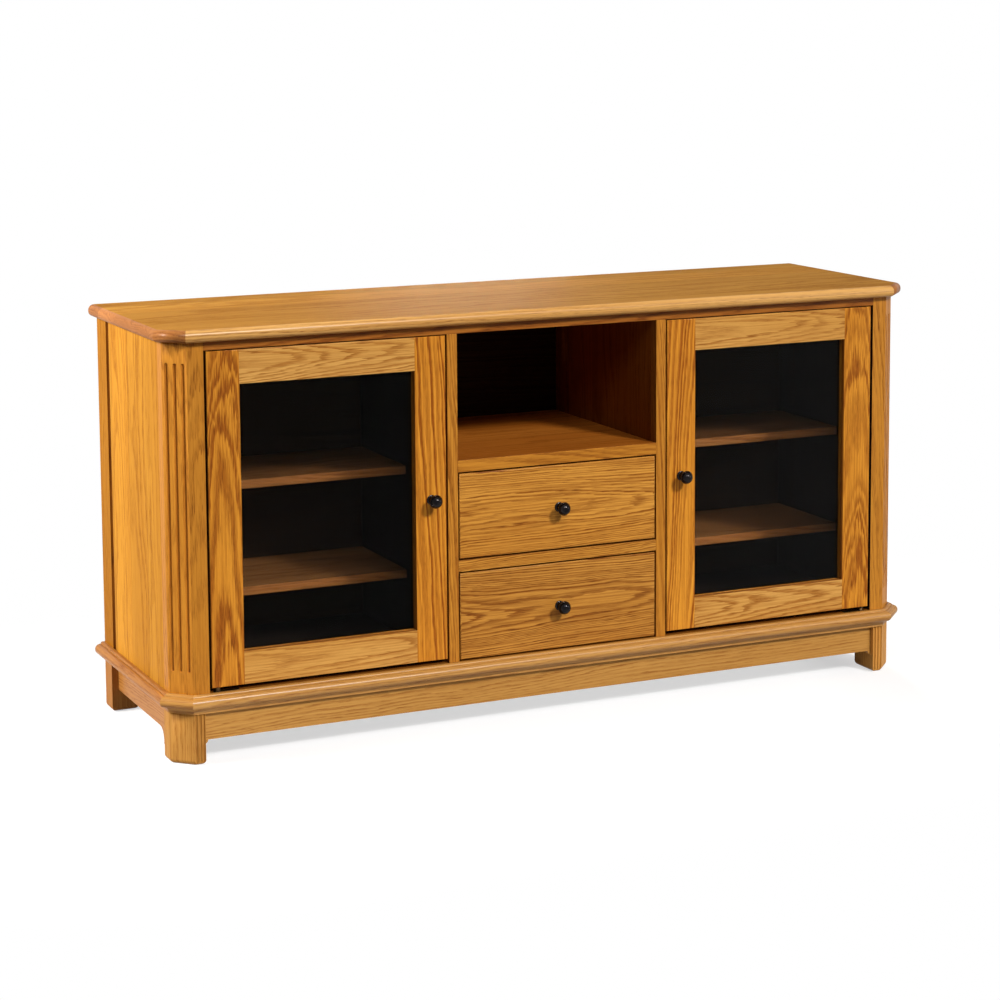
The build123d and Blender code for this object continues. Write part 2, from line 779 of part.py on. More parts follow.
with BuildPart() as slide_cabinet_members:
    for drawer, drawer_bottom, drawer_top in drawers:
        slide_z = (drawer_bottom + box_foot_gap + drawer_top - box_head_gap) / 2
        for side, sign in sides:
            slide_channel(sign, mullion_inner, mullion_inner - cabinet_member_lip, slide_height / 2, slide_z)
save(slide_cabinet_members, "slide_cabinet_members")
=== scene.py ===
import json
import math

import bmesh
import bpy
from mathutils import Matrix, Vector


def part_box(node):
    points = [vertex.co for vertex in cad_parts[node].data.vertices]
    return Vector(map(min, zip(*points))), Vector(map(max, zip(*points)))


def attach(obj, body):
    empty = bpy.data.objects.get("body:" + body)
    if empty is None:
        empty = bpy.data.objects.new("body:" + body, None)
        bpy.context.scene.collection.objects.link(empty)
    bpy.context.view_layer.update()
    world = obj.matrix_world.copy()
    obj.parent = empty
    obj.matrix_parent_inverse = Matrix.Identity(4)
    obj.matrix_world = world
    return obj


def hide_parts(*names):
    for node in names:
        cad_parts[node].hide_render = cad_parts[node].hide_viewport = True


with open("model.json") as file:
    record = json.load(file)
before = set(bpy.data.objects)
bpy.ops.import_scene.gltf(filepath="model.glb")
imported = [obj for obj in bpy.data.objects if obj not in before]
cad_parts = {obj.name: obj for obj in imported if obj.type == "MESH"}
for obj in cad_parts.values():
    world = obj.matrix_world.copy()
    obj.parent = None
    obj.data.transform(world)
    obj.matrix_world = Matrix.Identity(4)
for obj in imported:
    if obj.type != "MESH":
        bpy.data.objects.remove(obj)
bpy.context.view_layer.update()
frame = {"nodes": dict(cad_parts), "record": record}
scene = bpy.context.scene
scene.view_settings.view_transform = "Standard"
bodies = frame["record"]["behaviour"]["bodies"]
bodyOf = {node: body for body, nodes in bodies.items() for node in nodes}
slotOf = {part["node"]: part["material_slot"] for part in frame["record"]["subparts"]}
east, north, up = Vector((1, 0, 0)), Vector((0, 1, 0)), Vector((0, 0, 1))
west, south, down = -east, -north, -up
mm = 0.001
print("frame loaded:", len(bodyOf), "nodes")


# shader building

def addNode(tree, kind, inputs=None, **settings):
    node = tree.nodes.new("ShaderNode" + kind)
    for key, value in settings.items():
        setattr(node, key, value)
    for key, value in (inputs or {}).items():
        if isinstance(value, bpy.types.NodeSocket):
            tree.links.new(value, node.inputs[key])
        else:
            node.inputs[key].default_value = value
    return node


def calc(tree, operation, *values):
    return addNode(tree, "Math", dict(enumerate(values)), operation=operation).outputs[0]


def spread(tree, value, low, high, newLow=0.0, newHigh=1.0):
    inputs = {"Value": value, "From Min": low, "From Max": high, "To Min": newLow, "To Max": newHigh}
    return addNode(tree, "MapRange", inputs, interpolation_type="SMOOTHSTEP").outputs["Result"]


mixSockets = {"first": 6, "second": 7, "result": 2}  # the Mix node's sockets for colours


def blendColour(tree, amount, first, second, kind="MIX"):
    node = addNode(tree, "Mix", {"Factor": amount}, data_type="RGBA", blend_type=kind)
    for key, value in (("first", first), ("second", second)):
        socket = node.inputs[mixSockets[key]]
        if isinstance(value, bpy.types.NodeSocket):
            tree.links.new(value, socket)
        else:
            socket.default_value = (*value, 1)
    return node.outputs[mixSockets["result"]]


def grainNoise(tree, place, along, across, detail=2.0):
    scales = (along, across, across)
    stretched = addNode(tree, "VectorMath", {0: place, 1: scales}, operation="MULTIPLY").outputs[0]
    inputs = {"Vector": stretched, "Scale": 1.0, "Detail": detail}
    return addNode(tree, "TexNoise", inputs).outputs[0]


def newMaterial(name, **constants):
    material = bpy.data.materials.new(name)
    material.use_nodes = True
    shader = material.node_tree.nodes["Principled BSDF"]
    for key, value in constants.items():
        shader.inputs[key.replace("_", " ")].default_value = value
    return material, material.node_tree, shader


# oak: a board's own X runs along the trunk, and its Y and Z are measured from the trunk's heart

oakFinish = {
    "pale": (0.580, 0.235, 0.027),
    "honey": (0.510, 0.198, 0.020),
    "band": (0.310, 0.096, 0.008),
    "pore": (0.150, 0.040, 0.003),
    "ringWidth": 0.0052,
    "ringShape": (0.14, 0.24, 0.80),  # where the dark early wood is full, starts to fade and is gone
    "taper": 0.045,
    "sway": 0.030,
    "wander": 0.0045,
    "feather": 0.0032,
    "boldness": 0.85,
    "lines": 0.50,
    "plank": 0.0,
    "roughness": (0.48, 0.66),
    "relief": 0.00010,
    "gloss": 0.03,
    "lacquer": 0.16,
}
stileFinish = dict(
    oakFinish, pale=(0.690, 0.278, 0.027), honey=(0.610, 0.228, 0.020), band=(0.275, 0.066, 0.004),
    pore=(0.140, 0.030, 0.002), ringShape=(0.24, 0.36, 0.92), feather=0.0045, boldness=1.0,
    lines=0.40)
hingeStileFinish = dict(
    stileFinish, ringWidth=0.0068, taper=0.070, sway=0.042, wander=0.008, feather=0.0065,
    boldness=0.85)
knobStileFinish = dict(stileFinish, ringWidth=0.0088, sway=0.048)
railFinish = dict(
    oakFinish, pale=(0.670, 0.350, 0.088), honey=(0.590, 0.285, 0.058), band=(0.370, 0.136, 0.020),
    pore=(0.220, 0.068, 0.007), ringWidth=0.0036, taper=0.030, ringShape=(0.12, 0.20, 0.65))
baseFinish = dict(
    railFinish, pale=(0.495, 0.246, 0.055), honey=(0.440, 0.207, 0.042), band=(0.303, 0.116, 0.017),
    boldness=0.45, lines=0.30, taper=0.015, lacquer=0.25)
drawerFinish = dict(
    oakFinish, pale=(0.650, 0.296, 0.047), honey=(0.560, 0.238, 0.033), band=(0.250, 0.072, 0.006),
    pore=(0.130, 0.034, 0.003), ringWidth=0.0031, ringShape=(0.10, 0.18, 0.62), taper=0.024,
    feather=0.0024, boldness=1.0, lines=0.55)
panelFinish = dict(
    oakFinish, pale=(0.590, 0.258, 0.025), honey=(0.515, 0.212, 0.018), band=(0.350, 0.120, 0.009),
    pore=(0.230, 0.068, 0.006), plank=0.104, boldness=0.50, lines=0.30, taper=0.014, gloss=0.01,
    lacquer=0.04)
topFinish = dict(
    panelFinish, pale=(0.525, 0.250, 0.044), honey=(0.465, 0.210, 0.034),
    band=(0.345, 0.130, 0.016), pore=(0.230, 0.075, 0.009), roughness=(0.62, 0.76), gloss=0.004,
    lacquer=0.015)
# painted highlight: the top's rounded edges are a paler copy of the top's wood, with more lacquer
noseHighlightFinish = dict(
    topFinish, pale=(0.780, 0.420, 0.120), honey=(0.700, 0.350, 0.090), band=(0.500, 0.205, 0.036),
    roughness=(0.45, 0.60), gloss=0.03, lacquer=0.35)
# the top's ends and clipped corners: darker end grain, and painted shade on these faces
endGrainShadeFinish = dict(
    noseHighlightFinish, pale=(0.440, 0.168, 0.042), honey=(0.380, 0.138, 0.032), band=(0.260, 0.082, 0.017),
    pore=(0.150, 0.042, 0.008), lacquer=0.16)
sideFinish = dict(panelFinish, plank=0.0)
postFinish = dict(oakFinish, boldness=0.42, lines=0.36)
footFinish = dict(baseFinish, boldness=0.34, lacquer=0.05)
# painted highlight: the front base moulding is a paler copy of the base wood, with more lacquer
mouldingHighlightFinish = dict(
    baseFinish, pale=(0.545, 0.272, 0.064), honey=(0.485, 0.230, 0.049), lacquer=0.50)
floorFinish = dict(
    panelFinish, pale=(0.440, 0.140, 0.017), honey=(0.385, 0.112, 0.012),
    band=(0.250, 0.064, 0.006))
# painted shade: the bay shelves' tops are a dark copy of the panel wood
shelfTopShadeFinish = dict(
    panelFinish, pale=(0.285, 0.122, 0.036), honey=(0.245, 0.099, 0.028),
    band=(0.160, 0.060, 0.016), pore=(0.085, 0.030, 0.008))
# painted light: the bay shelves' front edges are a paler copy of the oak
litShelfEdgeFinish = dict(
    oakFinish, pale=(0.470, 0.186, 0.048), honey=(0.405, 0.152, 0.037), band=(0.275, 0.094, 0.020),
    pore=(0.160, 0.050, 0.010), boldness=0.6)
# the faces in the grooves and round doors, drawer fronts and openings: darker end grain in part, and
# painted shade in the gaps and grooves
edgeShadeFinish = dict(
    oakFinish, pale=(0.300, 0.100, 0.012), honey=(0.255, 0.082, 0.009), band=(0.150, 0.040, 0.004),
    pore=(0.075, 0.018, 0.002), lacquer=0.05)
# painted shade: a near-black copy of the oak for the faces inside the bays and under them, standing
# for the shade there
paintedShadeFinish = dict(
    oakFinish, pale=(0.021, 0.014, 0.010), honey=(0.017, 0.011, 0.008), band=(0.011, 0.007, 0.005),
    pore=(0.007, 0.004, 0.003), gloss=0.0, lacquer=0.02)
drawerBoxFinish = dict(
    oakFinish, pale=(0.62, 0.44, 0.24), honey=(0.54, 0.36, 0.18), band=(0.42, 0.26, 0.12),
    pore=(0.30, 0.17, 0.07), boldness=0.6)
# painted shade: the back panel is near black, standing for the shade at the back of the compartment
# and bays
backShadePlyFinish = dict(
    oakFinish, pale=(0.042, 0.025, 0.014), honey=(0.034, 0.019, 0.010), band=(0.022, 0.012, 0.006),
    pore=(0.012, 0.006, 0.004), ringWidth=0.011, gloss=0.0, lacquer=0.02)


# glued-up panels: each plank comes from its own place in a trunk
planks = {
    "shift": (5.0, 0.09, 0.05),
    "start": (0.0, -0.045, 0.0),
    "seam": (0.0008, 0.0002),
    "seamShade": -0.30,
    "levels": (0.0, 1.0, 0.88, 1.10),
}


def splitPlanks(tree, place, width):
    axes = addNode(tree, "SeparateXYZ", {0: place}).outputs
    count = calc(tree, "DIVIDE", axes[1], width)
    part = calc(tree, "SUBTRACT", calc(tree, "FRACT", count), 0.5)
    number = calc(tree, "FLOOR", count)
    draw = addNode(tree, "TexWhiteNoise", {"W": number}, noise_dimensions="1D").outputs
    across = calc(tree, "MULTIPLY", part, width)
    inPlank = addNode(tree, "CombineXYZ", {0: axes[0], 1: across, 2: axes[2]}).outputs[0]
    inputs = {0: draw["Color"], 1: planks["shift"], 2: planks["start"]}
    shift = addNode(tree, "VectorMath", inputs, operation="MULTIPLY_ADD").outputs[0]
    moved = addNode(tree, "VectorMath", {0: inPlank, 1: shift}, operation="ADD").outputs[0]
    seamFrom, seamTo = (0.5 - size / width for size in planks["seam"])
    seam = spread(tree, calc(tree, "ABSOLUTE", part), seamFrom, seamTo)
    return moved, draw["Value"], seam


# noises are in cycles per metre along and across the trunk;
# levels say where a noise starts and stops to count, and what it counts for there
pattern = {
    "sway": (1.7, 9.0),
    "wander": (9.0, 55.0),
    "feather": (24.0, 420.0),
    "patch": (3.0, 34.0),
    "patchLevels": (0.30, 0.55, 0.50, 1.0),
    "pore": (46.0, 1100.0),
    "poreLevels": (0.46, 0.62),
    "poreInBand": 0.66,
    "poreInBody": 0.12,
    "poreDepth": -1.6,
    "streak": (5.0, 330.0, 3.0),
    "streakLevels": (0.36, 0.68),
    "drift": (1.1, 8.0),
    "driftLevels": (0.32, 0.68),
    "ringNoise": 38.0,
    "ringSpread": 3.0,
    "ringLevels": (0.0, 0.7, 0.45, 1.0),
    "roughLevels": (0.0, 0.6),
    "coatRoughness": 0.28,
    "bump": 0.6,
}


def makeWood(name, finish):
    material, tree, shader = newMaterial(
        name, Specular_IOR_Level=finish["gloss"], Coat_Weight=finish["lacquer"],
        Coat_Roughness=pattern["coatRoughness"])
    place = addNode(tree, "TexCoord").outputs["Object"]
    if finish["plank"]:
        place, plankDraw, seam = splitPlanks(tree, place, finish["plank"])

    # growth rings: the distance from the heart, made uneven
    axes = addNode(tree, "SeparateXYZ", {0: place}).outputs
    flat = addNode(tree, "CombineXYZ", {0: 0.0, 1: axes[1], 2: axes[2]}).outputs[0]
    radius = addNode(tree, "VectorMath", {0: flat}, operation="LENGTH").outputs["Value"]
    radius = calc(tree, "MULTIPLY_ADD", axes[0], finish["taper"], radius)
    for key in ("sway", "wander", "feather"):
        size = finish[key]
        noise = grainNoise(tree, place, *pattern[key])
        radius = calc(tree, "ADD", radius, calc(tree, "MULTIPLY_ADD", noise, size, -size / 2))
    inputs = {"W": radius, "Scale": pattern["ringNoise"], "Detail": 1.0}
    uneven = addNode(tree, "TexNoise", inputs, noise_dimensions="1D").outputs[0]
    rings = calc(tree, "DIVIDE", radius, finish["ringWidth"])
    rings = calc(tree, "MULTIPLY_ADD", uneven, pattern["ringSpread"], rings)
    phase = calc(tree, "FRACT", rings)
    number = calc(tree, "FLOOR", rings)
    ringDraw = addNode(tree, "TexWhiteNoise", {"W": number}, noise_dimensions="1D").outputs[0]
    full, fading, gone = finish["ringShape"]
    rise = spread(tree, phase, 0.0, full)
    early = calc(tree, "MULTIPLY", rise, spread(tree, phase, fading, gone, 1.0, 0.0))
    early = calc(tree, "MULTIPLY", early, spread(tree, ringDraw, *pattern["ringLevels"]))
    patches = grainNoise(tree, place, *pattern["patch"])
    early = calc(tree, "MULTIPLY", early, spread(tree, patches, *pattern["patchLevels"]))

    # colour: body, streaks, dark bands of early wood, and the pores in them
    pores = spread(tree, grainNoise(tree, place, *pattern["pore"]), *pattern["poreLevels"])
    streaks = grainNoise(tree, place, *pattern["streak"])
    drift = spread(tree, grainNoise(tree, place, *pattern["drift"]), *pattern["driftLevels"])
    body = blendColour(tree, drift, finish["pale"], finish["honey"])
    lines = spread(tree, streaks, *pattern["streakLevels"], 0.0, finish["lines"])
    body = blendColour(tree, lines, body, finish["band"])
    body = blendColour(tree, calc(tree, "MULTIPLY", early, finish["boldness"]), body, finish["band"])
    share = calc(tree, "MULTIPLY_ADD", early, pattern["poreInBand"], pattern["poreInBody"])
    pitted = calc(tree, "MULTIPLY", pores, share)
    colour = blendColour(tree, pitted, body, finish["pore"])
    if finish["plank"]:
        level = spread(tree, plankDraw, *planks["levels"])
        shade = calc(tree, "MULTIPLY_ADD", seam, planks["seamShade"], 1.0)
        inputs = {0: colour, "Scale": calc(tree, "MULTIPLY", level, shade)}
        colour = addNode(tree, "VectorMath", inputs, operation="SCALE").outputs[0]
    tint = addNode(tree, "ObjectInfo").outputs["Color"]
    tree.links.new(blendColour(tree, 1.0, colour, tint, "MULTIPLY"), shader.inputs["Base Color"])

    # surface
    roughness = spread(tree, pitted, *pattern["roughLevels"], *finish["roughness"])
    tree.links.new(roughness, shader.inputs["Roughness"])
    height = calc(tree, "MULTIPLY_ADD", pitted, pattern["poreDepth"], streaks)
    inputs = {"Strength": pattern["bump"], "Distance": finish["relief"], "Height": height}
    tree.links.new(addNode(tree, "Bump", inputs).outputs[0], shader.inputs["Normal"])
    return material


oak = makeWood("goldenOak", oakFinish)
hingeStileOak = makeWood("hingeStileOak", hingeStileFinish)
knobStileOak = makeWood("knobStileOak", knobStileFinish)
railOak = makeWood("railOak", railFinish)
drawerOak = makeWood("drawerOak", drawerFinish)
panelOak = makeWood("panelOak", panelFinish)
sideOak = makeWood("sideOak", sideFinish)
topOak = makeWood("topOak", topFinish)
noseHighlightOak = makeWood("noseHighlightOak", noseHighlightFinish)
endGrainShadeOak = makeWood("endGrainShadeOak", endGrainShadeFinish)
postOak = makeWood("postOak", postFinish)
compartmentOak = makeWood("compartmentOak", floorFinish)
shelfTopShadeOak = makeWood("shelfTopShadeOak", shelfTopShadeFinish)
litShelfEdgeOak = makeWood("litShelfEdgeOak", litShelfEdgeFinish)
edgeShadeOak = makeWood("edgeShadeOak", edgeShadeFinish)
paintedShadeOak = makeWood("paintedShadeOak", paintedShadeFinish)
baseOak = makeWood("baseOak", baseFinish)
footOak = makeWood("footOak", footFinish)
mouldingHighlightOak = makeWood("mouldingHighlightOak", mouldingHighlightFinish)
paleWood = makeWood("paleDrawerWood", drawerBoxFinish)
backShadePly = makeWood("backShadePly", backShadePlyFinish)


glassLook = {
    "darker": (0.47, 0.47, 0.48),
    "lighter": (0.53, 0.53, 0.54),
    "cloud": (5.0, 5.0, 3.0),
    "cloudLevels": (0.3, 0.7),
    "index": 1.45,
    "reflection": (0.05, 0.05, 0.05, 1),
    "lampLight": (0.90, 0.90, 0.90, 1),
}


# lamps shine through the pane unbent, so that what is behind it is lit
def makeSmokedGlass():
    material, tree, shader = newMaterial(
        "smokedGlass", Roughness=0.0, IOR=glassLook["index"], Transmission_Weight=1.0,
        Specular_Tint=glassLook["reflection"])
    place = addNode(tree, "TexCoord").outputs["Object"]
    smoke = spread(tree, grainNoise(tree, place, *glassLook["cloud"]), *glassLook["cloudLevels"])
    colour = blendColour(tree, smoke, glassLook["darker"], glassLook["lighter"])
    tree.links.new(colour, shader.inputs["Base Color"])
    lampRay = addNode(tree, "LightPath").outputs["Is Shadow Ray"]
    clear = addNode(tree, "BsdfTransparent", {"Color": glassLook["lampLight"]})
    mix = addNode(tree, "MixShader", {0: lampRay, 1: shader.outputs[0], 2: clear.outputs[0]})
    tree.links.new(mix.outputs[0], tree.nodes["Material Output"].inputs["Surface"])
    return material


metalLook = {
    "cloud": (90.0, 90.0, 4.0),
    "cloudLevels": (0.35, 0.7),
    "fineLevels": (0.2, 0.8),
    "bump": 0.25,
    "relief": 0.00005,
}


def makeMetal(name, base, worn, roughness, scratch):
    material, tree, shader = newMaterial(name, Metallic=1.0)
    place = addNode(tree, "TexCoord").outputs["Object"]
    cloud = spread(tree, grainNoise(tree, place, *metalLook["cloud"]), *metalLook["cloudLevels"])
    fine = grainNoise(tree, place, *scratch)
    tree.links.new(blendColour(tree, cloud, base, worn), shader.inputs["Base Color"])
    rough = spread(tree, fine, *metalLook["fineLevels"], *roughness)
    tree.links.new(rough, shader.inputs["Roughness"])
    inputs = {"Strength": metalLook["bump"], "Distance": metalLook["relief"], "Height": fine}
    tree.links.new(addNode(tree, "Bump", inputs).outputs[0], shader.inputs["Normal"])
    return material


plasticLook = {
    "grain": (1400.0, 1400.0),
    "roughLevels": (0.2, 0.8, 0.42, 0.6),
    "bump": 0.3,
    "relief": 0.0001,
}


def makePlastic(name, base, speck):
    material, tree, shader = newMaterial(name)
    place = addNode(tree, "TexCoord").outputs["Object"]
    grain = grainNoise(tree, place, *plasticLook["grain"])
    tree.links.new(blendColour(tree, grain, base, speck), shader.inputs["Base Color"])
    rough = spread(tree, grain, *plasticLook["roughLevels"])
    tree.links.new(rough, shader.inputs["Roughness"])
    inputs = {"Strength": plasticLook["bump"], "Distance": plasticLook["relief"], "Height": grain}
    tree.links.new(addNode(tree, "Bump", inputs).outputs[0], shader.inputs["Normal"])
    return material


smokedGlass = makeSmokedGlass()
bronze = makeMetal(
    "darkBronze", base=(0.010, 0.009, 0.010), worn=(0.022, 0.019, 0.018),
    roughness=(0.06, 0.12), scratch=(260.0, 260.0))
agedBronze = makeMetal(
    "agedBronze", base=(0.060, 0.034, 0.015), worn=(0.095, 0.054, 0.024),
    roughness=(0.38, 0.52), scratch=(240.0, 240.0))
zincSteel = makeMetal(
    "zincSteel", base=(0.56, 0.57, 0.58), worn=(0.66, 0.67, 0.68),
    roughness=(0.28, 0.46), scratch=(30.0, 900.0))
catchPlastic = makePlastic("brownPlastic", base=(0.10, 0.048, 0.022), speck=(0.135, 0.068, 0.034))
finishOf = {
    "oak": oak,
    "drawer_box_wood": paleWood,
    "plywood": backShadePly,
    "smoked_glass": smokedGlass,
    "bronze": bronze,
    "zinc_steel": zincSteel,
    "catch_plastic": catchPlastic,
}
print("finishes made:", len(finishOf))


# solids of the frame, taken apart and dressed

easing = {
    "width": 0.7 * mm,
    "segments": 2,
    "sharpAngle": math.radians(32),
    "shortest": 6 * mm,
    "flatAngle": 0.003,
    "weld": 0.01 * mm,
    "placesKept": 4,
    "profile": 0.5,
}


def placeInRow(solid):
    return tuple(round(value, easing["placesKept"]) for value in centreOf(solid))


def solidsOf(node):
    whole = bmesh.new()
    whole.from_mesh(frame["nodes"][node].data)
    bmesh.ops.remove_doubles(whole, verts=whole.verts, dist=easing["weld"])
    whole.verts.index_update()
    islandOf = {}
    islands = []
    for vert in whole.verts:
        if vert.index in islandOf:
            continue
        waiting = [vert]
        islandOf[vert.index] = len(islands)
        for nextVert in waiting:
            for edge in nextVert.link_edges:
                other = edge.other_vert(nextVert)
                if other.index not in islandOf:
                    islandOf[other.index] = len(islands)
                    waiting.append(other)
        islands.append(waiting)
    solids = []
    for number in range(len(islands)):
        solid = whole.copy()
        solid.verts.ensure_lookup_table()
        spare = [vert for vert in solid.verts if islandOf[vert.index] != number]
        bmesh.ops.delete(solid, geom=spare, context="VERTS")
        solids.append(solid)
    whole.free()
    return sorted(solids, key=placeInRow)


def boxOf(solid):
    low = [min(vert.co[axis] for vert in solid.verts) for axis in range(3)]
    high = [max(vert.co[axis] for vert in solid.verts) for axis in range(3)]
    return Vector(low), Vector(high)


def centreOf(solid):
    low, high = boxOf(solid)
    return (low + high) / 2


def mergeFlats(solid):
    bmesh.ops.dissolve_limit(solid, angle_limit=easing["flatAngle"], verts=solid.verts,
                             edges=solid.edges)


def easeEdges(solid, width, shortest=easing["shortest"], segments=easing["segments"]):
    mergeFlats(solid)
    sharp = [edge for edge in solid.edges if len(edge.link_faces) == 2
             and edge.calc_face_angle(0) > easing["sharpAngle"] and edge.calc_length() > shortest]
    bmesh.ops.bevel(solid, geom=sharp, offset=width, segments=segments, profile=easing["profile"],
                    affect="EDGES", clamp_overlap=True)


def gather(solids):
    whole = bmesh.new()
    for solid in solids:
        spare = bpy.data.meshes.new("spare")
        solid.to_mesh(spare)
        solid.free()
        whole.from_mesh(spare)
        bpy.data.meshes.remove(spare)
    return whole


def addPiece(name, solid, material, body, place=None):
    place = place or Matrix.Identity(4)
    mesh = bpy.data.meshes.new(name)
    solid.transform(place.inverted())
    solid.to_mesh(mesh)
    solid.free()
    mesh.shade_smooth()
    mesh.set_sharp_from_angle(angle=easing["sharpAngle"])
    piece = bpy.data.objects.new(name, mesh)
    scene.collection.objects.link(piece)
    piece.matrix_world = place
    piece.data.materials.append(material)
    modifier = piece.modifiers.new("levelFaces", "WEIGHTED_NORMAL")
    modifier.keep_sharp = True
    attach(piece, body)
    return piece


# boards: each solid of a wooden node becomes a piece with eased edges and its own place in a trunk

trunk = {"step": 0.71, "count": 0}
tints = {
    "plain": (1.0, 1.0, 1.0),
    # painted shade: darkens the partitions, whose faces in the open compartment lie in shadow
    "interiorShade": (0.46, 0.32, 0.36),
    "stile": (0.70, 0.63, 0.45),
    # painted shadow of the top's overhang on the top rail
    "overhangShadow": (0.66, 0.56, 0.66),
    "bright": (1.10, 1.12, 1.12),
    # painted shade on the low parts of the sides: rear feet, side aprons and side base mouldings
    "lowSideShade": (0.80, 0.66, 0.62),
    "corner": (0.90, 0.88, 0.92),
    "leftFoot": (0.94, 0.92, 0.92),
    # painted light: lightens the right front foot, lifting the shade that the base moulding casts on
    # it
    "rightFoot": (1.22, 1.20, 1.20),
    "upper": (1.05, 1.05, 1.05),
    "lower": (0.88, 0.86, 0.90),
}


def layBoards(node, grains, face, heart, wood=None, tint=tints["plain"], ease=easing["width"]):
    solids = solidsOf(node)
    pieces = []
    outward = Vector(face).normalized()
    for number, solid in enumerate(solids):
        along = Vector(grains if isinstance(grains, Vector) else grains[number]).normalized()
        normal = (outward - along * outward.dot(along)).normalized()
        across = normal.cross(along)
        trunk["count"] += 1
        place = Matrix((along, across, normal)).transposed().to_4x4()
        place.translation = (centreOf(solid) + across * heart[0] + normal * heart[1]
                             + along * trunk["count"] * trunk["step"])
        if ease:
            easeEdges(solid, ease)
        name = node if len(solids) == 1 else f"{node}_{number + 1}"
        slot = slotOf[node]
        piece = addPiece(name + "_board", solid, wood or finishOf[slot], bodyOf[node], place)
        piece.color = (*tint, 1)
        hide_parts(node)
        pieces.append(piece)
    return pieces


# gives the faces that look a chosen way a finish of their own
def refinish(pieces, wood, chosen):
    for piece in pieces:
        piece.data.materials.append(wood)
        turned = piece.matrix_world.to_3x3()
        for face in piece.data.polygons:
            if chosen(turned @ face.normal):
                face.material_index = len(piece.data.materials) - 1


doorEase = 1.8 * mm

# where the heart of the trunk lies from a board's middle: across the board, and out of its face
hearts = {
    "top": (0.05, -0.16),
    "panel": (0.03, -0.10),
    "post": (0.02, -0.06),
    "foot": (0.0, -0.06),
    "rearFoot": (0.03, -0.06),
    "shelf": (0.05, -0.10),
    "hingeStile": (0.003, -0.042),
    "hingeStileShift": 0.008,
    "knobStile": (0.085, -0.030),
    "doorRail": (0.006, -0.034),
    "glassStop": (0.03, -0.06),
    "backStile": (0.05, -0.05),
    "caseRail": (0.03, -0.05),
    "mullion": (0.06, -0.05),
    "drawerRail": (0.05, -0.05),
    "wall": (0.04, -0.08),
    "compartment": (0.06, -0.09),
    "base": (0.04, -0.05),
    "back": (0.04, -0.12),
    "drawerFront": (0.004, -0.045),
    "drawerBox": (0.04, -0.06),
}

# shares of a face's normal along a direction, from which its finish is chosen
facing = {
    "square": 0.9,
    "edgeOn": 0.1,
    "level": 0.98,
    "end": 0.5,
    "groove": (0.05, 0.86),
    "litShelfEdge": 0.6,
}
grooveFrom, grooveTo = facing["groove"]


def squareTo(direction):
    return lambda normal: normal.dot(direction) > facing["square"]


def besideFront(normal):
    return abs(normal.y) < facing["edgeOn"]


def offTheTop(normal):
    return normal.z < facing["level"]


def onTopsEnd(normal):
    return offTheTop(normal) and abs(normal.x) > facing["end"] * abs(normal.y)


top = layBoards("top_panel", east, up, hearts["top"], topOak, ease=0)
# the top's rounded edges get the painted highlight
refinish(top, noseHighlightOak, offTheTop)
# the top's ends get the end grain and painted shade finish
refinish(top, endGrainShadeOak, onTopsEnd)
for side, outer, turn in (("left", west, 1), ("right", east, -1)):
    panels = layBoards(f"{side}_side_panel", up, outer, hearts["panel"], panelOak)
    # the side panel's groove faces get painted shade
    refinish(panels, edgeShadeOak, lambda normal: grooveFrom < normal.dot(outer) < grooveTo)
    posts = layBoards(f"{side}_corner_post", up, outer + south, hearts["post"], postOak, ease=0)
    # the inner faces of the side panels and corner posts get the near-black painted shade
    refinish(panels + posts, paintedShadeOak, squareTo(-outer))
    # the right front foot's tint is painted light
    layBoards(f"front_{side}_foot", up, south, hearts["foot"], footOak, tints[f"{side}Foot"], 0)
    # the bay shelves get painted shade on their tops and painted light on their front edges
    shelves = layBoards(f"{side}_bay_shelves", east, up, hearts["shelf"], shelfTopShadeOak)
    refinish(shelves, litShelfEdgeOak, lambda normal: normal.y < -facing["litShelfEdge"])
    across, out = hearts["hingeStile"]
    hingeHeart = (across * turn, out + hearts["hingeStileShift"] * turn)
    across, out = hearts["knobStile"]
    knobHeart = (across * turn, out)
    door = layBoards(f"{side}_door_hinge_stile", up, south, hingeHeart, hingeStileOak, ease=doorEase)
    door += layBoards(f"{side}_door_knob_stile", up, south, knobHeart, knobStileOak, tints["bright"],
                      doorEase)
    door += layBoards(f"{side}_door_rails", east, south, hearts["doorRail"], railOak, ease=doorEase)
    # the doors' edge faces get painted shade for the gaps round them
    refinish(door, edgeShadeOak, besideFront)
    layBoards(f"{side}_door_glass_stops", [up, east, east, up], north, hearts["glassStop"], oak)
stiles = layBoards("back_stiles", up, west, hearts["backStile"], sideOak, tints["stile"])
# the back stiles' groove faces get painted shade
refinish(stiles, edgeShadeOak, lambda normal: grooveFrom < abs(normal.x) < grooveTo)
# the back stiles' inner faces get the near-black painted shade
for stile, inward in zip(stiles, (east, west)):
    refinish([stile], paintedShadeOak, squareTo(inward))
# the top rail gets the painted overhang shadow
casing = layBoards("top_rail", east, south, hearts["caseRail"], oak, tints["overhangShadow"])
casing += layBoards("bottom_rail", east, south, hearts["caseRail"], oak)
casing += layBoards("mullions", up, south, hearts["mullion"], oak)
casing += layBoards("drawer_rail", east, south, hearts["drawerRail"], drawerOak)
# the casing's edge faces get painted shade for the gaps and openings
refinish(casing, edgeShadeOak, besideFront)
# the partitions get the painted-shade tint on their compartment faces
leftWall, rightWall = layBoards("partitions", up, west, hearts["wall"], panelOak, tints["interiorShade"])
# the partitions' faces inside the bays, and the whole bottom panel, get the near-black painted shade
refinish([leftWall], paintedShadeOak, squareTo(west))
refinish([rightWall], paintedShadeOak, squareTo(east))
layBoards("bottom_panel", east, up, hearts["wall"], paintedShadeOak)
shelf = layBoards("compartment_shelf", east, up, hearts["compartment"], oak)
refinish(shelf, compartmentOak, squareTo(up))
